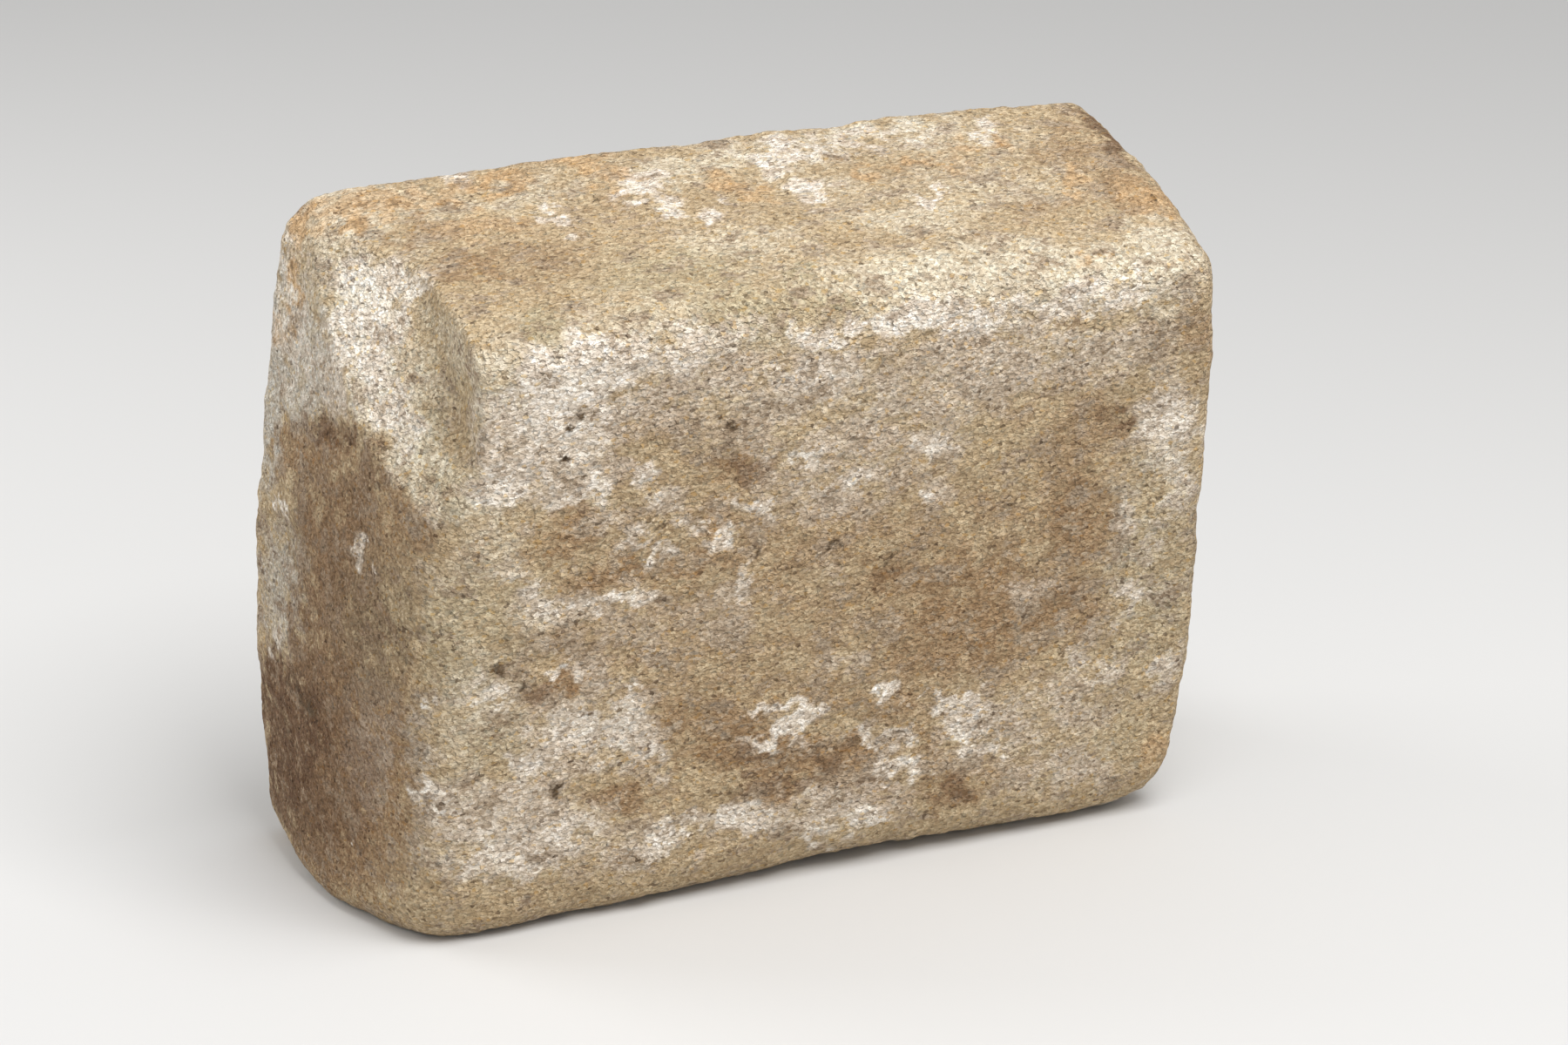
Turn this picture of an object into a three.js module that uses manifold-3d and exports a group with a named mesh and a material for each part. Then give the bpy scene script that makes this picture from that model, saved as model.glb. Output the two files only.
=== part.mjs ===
// A stone trough planter, cut by hand from one block of granite and worn smooth at its edges.
// The trough is shaped mouth up, in millimetres: X runs along it, Y across it and Z from its foot to its mouth.
// The finished stone is then tipped onto the long wall that faces +Y, which is how it lies in the photograph:
// the foot then faces -Y, the mouth faces +Y and +Z is up. It is one solid stone, so it is one mesh.

import * as THREE from "three";
import { mergeVertices } from "three/addons/utils/BufferGeometryUtils.js";
import Module from "manifold-3d";

const wasm = await Module();
wasm.setup();

// Driving dimensions of the block, in millimetres and radians.
const FOOT_LENGTH = 430;
const FOOT_WIDTH = 334;
const HEIGHT = 179;
const END_WALL_DRAFT = THREE.MathUtils.degToRad(4.8);
const LONG_WALL_DRAFT = THREE.MathUtils.degToRad(6.1);
const END_WALL_BELLY = 5.5;
const LONG_WALL_BELLY = 1;

// The hollow that holds the soil. It has no drain hole, because the foot in the photograph has none.
const END_WALL_THICKNESS = 50;
const LONG_WALL_THICKNESS = 48;
const FLOOR_THICKNESS = 55;
const HOLLOW_DRAFT = THREE.MathUtils.degToRad(9);
const FLOOR_EDGE_RADIUS = 36;
const INNER_RIM_RADIUS = 8;

// How far the edges between the faces are worn round, and how far the sides swell and sink.
const CORNER_RADIUS = 40;
const HOLLOW_CORNER_RADIUS = 60;
const FOOT_EDGE_RADIUS = 40;
const OUTER_RIM_RADIUS = 10;
const WAIST_BEND_RADIUS = 600;
const SIDE_WAVE = 5;

// The block's outline at its foot, at its waist halfway up and at its rim.
// Corners are at -X-Y, +X-Y, +X+Y and -X+Y, in halves of the length and of the width.
// Each side, facing -Y, +X, +Y and -X, swells by its waves, the first of them one half wave long.
const FOOT_SHARES = {
  cornerShares: [
    [-0.95, -1.04],
    [1.02, -1.02],
    [1.05, 0.97],
    [-0.98, 0.97],
  ],
  radiusShares: [1, 0.55, 1.05, 0.9],
  waveShares: [[0.8], [1.3, -0.15, 0.3], [-0.25, -0.1, 0.05, 0.25], [0.6]],
};
const WAIST_SHARES = {
  cornerShares: [
    [-0.96, -1.01],
    [1.01, -1.03],
    [1, 0.98],
    [-1.04, 0.99],
  ],
  radiusShares: [0.95, 0.4, 0.9, 0.25],
  waveShares: [[0.8], [0.6], [0], [1]],
};
const RIM_SHARES = {
  cornerShares: [
    [-0.99, -1],
    [1, -1],
    [1, 1],
    [-1.01, 1],
  ],
  radiusShares: [0.9, 0.2, 0.8, 0.9],
  waveShares: [[0.7], [0.6], [0], [1.7]],
};

// The hollow's outline at its mouth and at its floor.
const HOLLOW_SHARES = {
  cornerShares: [
    [-1, -1],
    [1, -1],
    [1, 1],
    [-1, 1],
  ],
  radiusShares: [1, 1, 1, 1],
  waveShares: [[0.6, 0.2], [0.4], [0.5, -0.2], [0.6]],
};

// What each side, facing -Y, +X, +Y and -X, has of the edge radii.
const FOOT_EDGE_SHARES = [0.75, 0.36, 1, 0.95];
const OUTER_RIM_SHARES = [0.8, 0.5, 0.8, 1];

// Broad, shallow waves that the mason's chisel has left. The foot is dressed flat.
const DRESSING_DEPTH = 1;
const DRESSING_WAVE = 95;

// How much of the wall facing +Y is worn away where the stone lies on it.
const LYING_FLAT_DEPTH = 0.8;

// A broad facet hewn off the corner where the foot, the wall facing -Y and the end facing -X meet. It runs into
// a bank that faces -X, in a rounded valley. Depth and inset are measured from the foot's unworn corner.
const FACET_DEPTH = 49;
const FACET_OUT = new THREE.Vector3(-0.75, -0.5, -0.42);
const BANK_INSET = 20;
const VALLEY_RADIUS = 20;

// How finely the surface is divided, and how far a cutter runs past what it cuts.
const SIDE_STEPS = [18, 12, 18, 12];
const CORNER_STEPS = 8;
const BEND_STEPS = 6;
const LEG_STEPS = [1, 4, 4, 2, 6, 4];
const OVERRUN = 60;

// Sizes that follow from the driving dimensions.
const RIM_LENGTH = FOOT_LENGTH + 2 * HEIGHT * Math.tan(END_WALL_DRAFT);
const RIM_WIDTH = FOOT_WIDTH + 2 * HEIGHT * Math.tan(LONG_WALL_DRAFT);
const WAIST_LENGTH = (FOOT_LENGTH + RIM_LENGTH) / 2 + 2 * END_WALL_BELLY;
const WAIST_WIDTH = (FOOT_WIDTH + RIM_WIDTH) / 2 + 2 * LONG_WALL_BELLY;
const MOUTH_LENGTH = RIM_LENGTH - 2 * END_WALL_THICKNESS;
const MOUTH_WIDTH = RIM_WIDTH - 2 * LONG_WALL_THICKNESS;
const HOLLOW_TAPER = 2 * (HEIGHT - FLOOR_THICKNESS) * Math.tan(HOLLOW_DRAFT);

// The foot's and the rim's corners that the wall facing +Y ends at, and how far that wall leans.
const footCorner = cornerPlaces(FOOT_LENGTH, FOOT_WIDTH, 0, FOOT_SHARES)[2];
const rimCorner = cornerPlaces(RIM_LENGTH, RIM_WIDTH, HEIGHT, RIM_SHARES)[2];
const LYING_WALL_LEAN = Math.atan2(rimCorner.y - footCorner.y, HEIGHT);

// A three.js geometry as a solid that can be cut.
function toSolid(geometry) {
  const bare = geometry.clone();
  bare.deleteAttribute("normal");
  bare.deleteAttribute("uv");
  const merged = mergeVertices(bare);
  return new wasm.Manifold(
    new wasm.Mesh({
      numProp: 3,
      vertProperties: new Float32Array(merged.attributes.position.array),
      triVerts: new Uint32Array(merged.index.array),
    }),
  );
}

// A cut solid as a three.js geometry.
function toGeometry(solid) {
  const mesh = solid.getMesh();
  const geometry = new THREE.BufferGeometry();
  geometry.setAttribute("position", new THREE.BufferAttribute(mesh.vertProperties, 3));
  geometry.setIndex(new THREE.BufferAttribute(mesh.triVerts, 1));
  geometry.computeVertexNormals();
  return geometry;
}

// The unworn corners of an outline at the height z.
function cornerPlaces(length, width, z, { cornerShares }) {
  return cornerShares.map(([x, y]) => new THREE.Vector3((x * length) / 2, (y * width) / 2, z));
}

// The bend that rounds off a corner by a radius, as far as half of its shorter leg allows.
function bend(before, at, after, radius, steps) {
  const back = before.clone().sub(at);
  const on = after.clone().sub(at);
  const longest = Math.min(back.length(), on.length()) / 2;
  const trim = Math.min(radius / Math.tan(back.angleTo(on) / 2), longest);
  const start = at.clone().addScaledVector(back.normalize(), trim);
  const end = at.clone().addScaledVector(on.normalize(), trim);
  return new THREE.QuadraticBezierCurve3(start, at, end).getPoints(steps);
}

// The points between two ends, which aren't among them, in even steps.
function between(from, to, steps) {
  return Array.from({ length: steps - 1 }, (_, step) => from.clone().lerp(to, (step + 1) / steps));
}

// A worn outline, anticlockwise from its -X-Y corner. All outlines have the same number of points.
function outline(length, width, z, cornerRadius, shares) {
  const places = cornerPlaces(length, width, z, shares);
  const radii = shares.radiusShares.map((share) => share * cornerRadius);
  const next = (corner) => (corner + 1) % places.length;
  const bends = places.map((at, corner) =>
    bend(places.at(corner - 1), at, places[next(corner)], radii[corner], CORNER_STEPS),
  );
  return bends.flatMap((points, side) => {
    const from = points.at(-1);
    const to = bends[next(side)][0];
    const outward = to.clone().sub(from).normalize().cross(new THREE.Vector3(0, 0, 1));
    const waves = shares.waveShares[side];
    const straight = between(from, to, SIDE_STEPS[side]).map((point, step) => {
      const turn = (Math.PI * (step + 1)) / SIDE_STEPS[side];
      const swell = waves.reduce((sum, share, wave) => sum + share * Math.sin((wave + 1) * turn), 0);
      return point.addScaledVector(outward, SIDE_WAVE * swell);
    });
    return [...points, ...straight];
  });
}

// The outward directions of an outline, level with it.
function outwardDirections(points) {
  return points.map((_, index) => {
    const along = points[(index + 1) % points.length].clone().sub(points.at(index - 1));
    return along.cross(new THREE.Vector3(0, 0, 1)).normalize();
  });
}

// A size that changes smoothly round the stone, from one side's share of it to the next side's.
function bySide(size, outward, [front, right, back, left]) {
  const endShare = outward.x > 0 ? right : left;
  const longShare = outward.y > 0 ? back : front;
  return size * (outward.x ** 2 * endShare + outward.y ** 2 * longShare);
}

// A path through the given places, all but its ends rounded by their radii, and without its first and last place.
function roundedPath(places) {
  const bends = places.map(({ at, radius }, index) =>
    radius ? bend(places[index - 1].at, at, places[index + 1].at, radius, BEND_STEPS) : [at],
  );
  const legs = bends.slice(1).map((points, leg) => between(bends[leg].at(-1), points[0], LEG_STEPS[leg]));
  return bends.flatMap((points, index) => [...points, ...(legs[index] ?? [])]).slice(1, -1);
}

// The lines up the stone's skin, side by side round it. Each leaves the middle of the foot, turns up the wall,
// goes over the rim and down into the hollow, and ends at the middle of the hollow's floor.
function skinColumns() {
  const foot = outline(FOOT_LENGTH, FOOT_WIDTH, 0, CORNER_RADIUS, FOOT_SHARES);
  const waist = outline(WAIST_LENGTH, WAIST_WIDTH, HEIGHT / 2, CORNER_RADIUS, WAIST_SHARES);
  const rim = outline(RIM_LENGTH, RIM_WIDTH, HEIGHT, CORNER_RADIUS, RIM_SHARES);
  const mouth = outline(MOUTH_LENGTH, MOUTH_WIDTH, HEIGHT, HOLLOW_CORNER_RADIUS, HOLLOW_SHARES);
  const floor = outline(
    MOUTH_LENGTH - HOLLOW_TAPER,
    MOUTH_WIDTH - HOLLOW_TAPER,
    FLOOR_THICKNESS,
    HOLLOW_CORNER_RADIUS,
    HOLLOW_SHARES,
  );
  return outwardDirections(foot).map((outward, index) =>
    roundedPath([
      { at: new THREE.Vector3(0, 0, 0) },
      { at: foot[index], radius: bySide(FOOT_EDGE_RADIUS, outward, FOOT_EDGE_SHARES) },
      { at: waist[index], radius: WAIST_BEND_RADIUS },
      { at: rim[index], radius: bySide(OUTER_RIM_RADIUS, outward, OUTER_RIM_SHARES) },
      { at: mouth[index], radius: INNER_RIM_RADIUS },
      { at: floor[index], radius: FLOOR_EDGE_RADIUS },
      { at: new THREE.Vector3(0, 0, FLOOR_THICKNESS) },
    ]),
  );
}

// The height of the chisel's waves at a point. They run at a slant and cross one another.
function dressing({ x, y, z }) {
  const turn = (2 * Math.PI) / DRESSING_WAVE;
  const slant = Math.sin(turn * (x + z / 2)) * Math.cos((turn * (y - x / 3)) / 2);
  const cross = Math.sin(turn * 1.7 * (y + x / 4)) * Math.cos(turn * 1.3 * (z - y / 5));
  return (DRESSING_DEPTH * (slant + cross)) / 2;
}

// The closed skin of the hollowed block. The waves fade out towards the foot.
function hollowedBlock() {
  const columns = skinColumns();
  const rows = columns[0].length;
  const footMiddle = new THREE.Vector3(0, 0, 0);
  const floorMiddle = new THREE.Vector3(0, 0, FLOOR_THICKNESS);
  const vertices = [footMiddle, floorMiddle, ...columns.flat()];
  const at = (column, row) => 2 + (column % columns.length) * rows + row;
  const faces = [];
  for (let column = 0; column < columns.length; column++) {
    faces.push(0, at(column + 1, 0), at(column, 0));
    faces.push(1, at(column, rows - 1), at(column + 1, rows - 1));
    for (let row = 0; row + 1 < rows; row++) {
      const near = at(column, row);
      const far = at(column + 1, row);
      faces.push(near, far, far + 1);
      faces.push(near, far + 1, near + 1);
    }
  }
  const geometry = new THREE.BufferGeometry().setFromPoints(vertices);
  geometry.setIndex(faces);
  geometry.computeVertexNormals();
  const dressed = vertices.map((vertex, index) => {
    const normal = new THREE.Vector3().fromBufferAttribute(geometry.attributes.normal, index);
    const fade = THREE.MathUtils.smoothstep(vertex.z, 0, FOOT_EDGE_RADIUS);
    return vertex.clone().addScaledVector(normal, fade * dressing(vertex));
  });
  geometry.setFromPoints(dressed);
  return toSolid(geometry);
}

// The wedge that cuts the corner's facet and its bank. It reaches past the block everywhere else.
function cornerWedge() {
  const out = FACET_OUT.clone().normalize();
  const bankOut = new THREE.Vector3(-1, 0, 0);
  const along = bankOut.clone().cross(out).normalize();
  const across = out.clone().cross(along);
  const reach = HEIGHT + OVERRUN;

  // The valley's line is where the facet's plane, under the corner, meets the bank's, beside it.
  const valley = cornerPlaces(FOOT_LENGTH, FOOT_WIDTH, 0, FOOT_SHARES)[0].addScaledVector(bankOut, -BANK_INSET);
  const level = new THREE.Vector3(0, out.y, out.z);
  valley.addScaledVector(level, -(FACET_DEPTH + BANK_INSET * out.x) / level.lengthSq());

  const bankTop = new THREE.Vector3(-bankOut.dot(out), bankOut.dot(across), 0).multiplyScalar(reach);
  const facetEnd = new THREE.Vector3(reach, 0, 0);
  const bottom = bend(bankTop, new THREE.Vector3(0, 0, 0), facetEnd, VALLEY_RADIUS, BEND_STEPS);
  const profile = new THREE.Shape([bankTop, ...bottom, facetEnd, new THREE.Vector3(reach, reach, 0)]);
  const cutter = new THREE.ExtrudeGeometry(profile, { depth: 2 * reach, bevelEnabled: false });
  cutter.translate(0, 0, -reach);
  cutter.applyMatrix4(new THREE.Matrix4().makeBasis(across, out, along).setPosition(valley));
  return toSolid(cutter);
}

// All that stands out beyond the plane on which the stone lies.
function lyingFlat() {
  const wallHeight = HEIGHT / Math.cos(LYING_WALL_LEAN);
  const cutter = new THREE.BoxGeometry(RIM_LENGTH + 2 * OVERRUN, OVERRUN, wallHeight + 2 * OVERRUN);
  cutter.translate(0, OVERRUN / 2 - LYING_FLAT_DEPTH, wallHeight / 2);
  cutter.rotateX(-LYING_WALL_LEAN);
  cutter.translate(0, footCorner.y, 0);
  return toSolid(cutter);
}

const granite = new THREE.MeshStandardMaterial({ color: 0xb09b7a, roughness: 0.95, metalness: 0 });
const stone = hollowedBlock().subtract(cornerWedge()).subtract(lyingFlat());
const trough = new THREE.Mesh(toGeometry(stone), granite);
trough.name = "trough";

// Tips the stone onto its wall facing +Y, and sets the middle of the area that it covers on the origin.
const lyingTrough = new THREE.Group();
lyingTrough.add(trough);
lyingTrough.rotation.x = LYING_WALL_LEAN - Math.PI / 2;
const box = new THREE.Box3().setFromObject(lyingTrough, true);
lyingTrough.position.set(-(box.min.x + box.max.x) / 2, -(box.min.y + box.max.y) / 2, -box.min.z);

const planter = new THREE.Group();
planter.add(lyingTrough);

export default planter;
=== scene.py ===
import math

import bpy
import numpy as np
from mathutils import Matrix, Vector, noise


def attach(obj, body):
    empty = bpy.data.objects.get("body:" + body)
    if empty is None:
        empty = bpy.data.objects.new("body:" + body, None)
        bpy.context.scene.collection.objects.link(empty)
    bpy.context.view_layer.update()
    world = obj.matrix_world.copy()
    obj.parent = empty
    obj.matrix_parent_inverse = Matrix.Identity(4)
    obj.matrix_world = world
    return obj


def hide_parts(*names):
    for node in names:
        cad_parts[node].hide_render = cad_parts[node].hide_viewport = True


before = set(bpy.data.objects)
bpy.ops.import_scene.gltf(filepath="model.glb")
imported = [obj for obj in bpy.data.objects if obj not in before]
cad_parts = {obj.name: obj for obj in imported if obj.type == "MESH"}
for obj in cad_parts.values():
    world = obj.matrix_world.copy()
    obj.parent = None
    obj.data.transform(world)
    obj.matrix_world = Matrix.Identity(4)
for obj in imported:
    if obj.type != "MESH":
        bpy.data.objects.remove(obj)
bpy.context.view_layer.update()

MM = 0.001

# The photograph's size in pixels, and the camera that was fitted to it.
PHOTO_WIDTH = 1800
PHOTO_HEIGHT = 1200
LENS = 100
SENSOR_WIDTH = 36
VIEW_AZIMUTH = math.radians(-24.8)
VIEW_ELEVATION = math.radians(20.3)
VIEW_DISTANCE = 2297 * MM
VIEW_TARGET = Vector((28, 0, 173.7)) * MM
VIEW_REACH = 20000 * MM

# The floor.
FLOOR_SIZE = 12000 * MM
FLOOR_COLOR = (0.68, 0.675, 0.665, 1)
FLOOR_ROUGHNESS = 0.9

# The lights: the place and size of each in metres and its power in watts, and where they all aim.
KEY_LIGHT = ((0.2, -1.1, 2.2), 1.4, 51)
BOUNCE_LIGHT = ((-1.5, 1.3, 0.9), 1.2, 16)
LIGHT_AIM = (0, 0, 0.2)

# The even light from all round.
WORLD_COLOR = (1, 1, 1, 1)
WORLD_STRENGTH = 0.53

# How finely the stone is divided, and how far its cut edges are worn.
STONE_VOXEL = 2 * MM
WEAR_PASSES = 4
WEAR_FACTOR = 0.5

# How fast the finer waves of fractal noise weaken, and how many times finer each is than the last.
NOISE_FALLOFF = 0.9
NOISE_STEP = 2.0

# How many sizes of waves the noise has that shapes the relief, and the noise that shapes the stains.
RELIEF_OCTAVES = 2
STAIN_OCTAVES = 3

# Relief of the weathered surface: the size of its waves, their height and their place in the noise.
UNDULATION = (34 * MM, 1.2 * MM, 3.1)
DIMPLES = (12 * MM, 0.8 * MM, 17.3)
CRUMBS = (4.5 * MM, 0.5 * MM, 41.9)

# Small scattered pits, and their place in the noise.
PIT_SPACING = 30 * MM
PIT_RADIUS = 2.4 * MM
PIT_DEPTH = 1.5 * MM
PIT_OFFSET = 31.7

# How much crumbs, dimples and pits each count towards how sunken a point is.
CRUMB_SINK = 0.4
DIMPLE_SINK = 0.3
PIT_SINK = 0.7

# How far a stain reaches below the face that it lies on, and how soft its edge is, as shares of its size.
STAIN_REACH = 26 * MM
STAIN_CORE_SHARE = 0.4
STAIN_EDGE_SHARE = 1.6

# How far noise shifts the stains' outlines, in the photograph's pixels, and the size of its waves.
STAIN_SHIFT = 20
STAIN_SHIFT_SIZE = 11 * MM

# The places in the noise of the shift across and the shift down.
STAIN_SHIFT_OFFSETS = (5.3, 71.9)

# How far behind the stone's skin a point must lie to be out of the photograph's sight.
HIDDEN_DEPTH = 6 * MM

# How far a face is turned away, as a cosine, where it starts to be hidden and where it is all hidden.
TURNING_AWAY = -0.25
TURNED_AWAY = 0.1

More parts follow.
